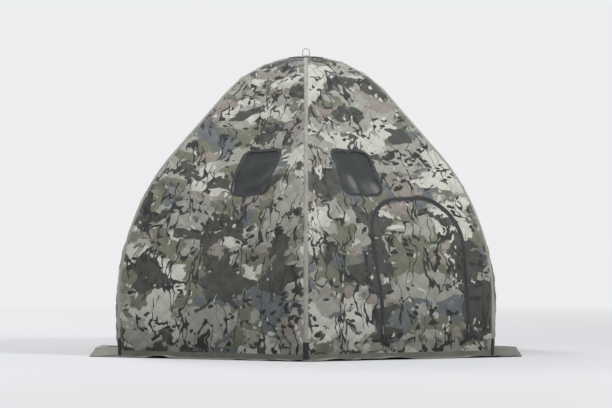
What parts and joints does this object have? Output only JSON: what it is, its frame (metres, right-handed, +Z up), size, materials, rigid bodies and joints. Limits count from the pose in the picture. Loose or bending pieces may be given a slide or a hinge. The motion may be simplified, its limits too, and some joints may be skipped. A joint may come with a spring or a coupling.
{
  "type": "pop-up ice fishing shelter",
  "caption": "Six-sided ice fishing shelter of quilted camouflage cloth on a folding umbrella frame, with a zipped door, clear windows and a snow skirt.",
  "frame": {"origin": "on the ground, in the middle of the plan", "axes": "+Z up; -Y is the front, where one rib stands between the two front panels"},
  "size_m": [2.6816, 3.073, 1.9083],
  "materials": {
    "camouflage_cloth": "matte quilted cloth with a printed camouflage",
    "skirt_cloth": "matte coated cloth",
    "dark_webbing": "ribbed webbing",
    "patch_cloth": "coated reinforcement cloth",
    "zip": "coil zip on woven tape",
    "slider_metal": "plated slider",
    "clear_film": "clear flexible film",
    "netting": "fine netting",
    "fibreglass": "pultruded rod",
    "moulded_plastic": "moulded nylon",
    "steel": "zinc-plated steel"
  },
  "bodies": {
    "root": {"crown_patch": "patch_cloth", "crown_loop": "dark_webbing", "top_hub": "moulded_plastic", "hub_pins": "steel", "rib_roots": "moulded_plastic", "upper_rib_front": "fibreglass", "upper_rib_right_front": "fibreglass", "upper_rib_right_back": "fibreglass", "upper_rib_back": "fibreglass", "upper_rib_left_back": "fibreglass", "upper_rib_left_front": "fibreglass", "rib_elbows": "moulded_plastic", "lower_rib_front": "fibreglass", "lower_rib_right_front": "fibreglass", "lower_rib_right_back": "fibreglass", "lower_rib_back": "fibreglass", "lower_rib_left_back": "fibreglass", "lower_rib_left_front": "fibreglass", "rib_keepers": "dark_webbing", "rib_feet": "moulded_plastic", "front_right_panel": "camouflage_cloth", "right_panel": "camouflage_cloth", "back_right_panel": "camouflage_cloth", "back_left_panel": "camouflage_cloth", "left_panel": "camouflage_cloth", "front_left_panel": "camouflage_cloth", "skirt_front_right": "skirt_cloth", "skirt_right": "skirt_cloth", "skirt_back_right": "skirt_cloth", "skirt_back_left": "skirt_cloth", "skirt_left": "skirt_cloth", "skirt_front_left": "skirt_cloth", "corner_tabs": "dark_webbing", "corner_eyelets": "steel", "door_flap": "camouflage_cloth", "door_zip": "zip", "zip_pulls": "slider_metal", "window_frames": "dark_webbing", "window_panes": "clear_film", "vent_flaps": "camouflage_cloth", "vent_nets": "netting"}
  },
  "joints": []
}
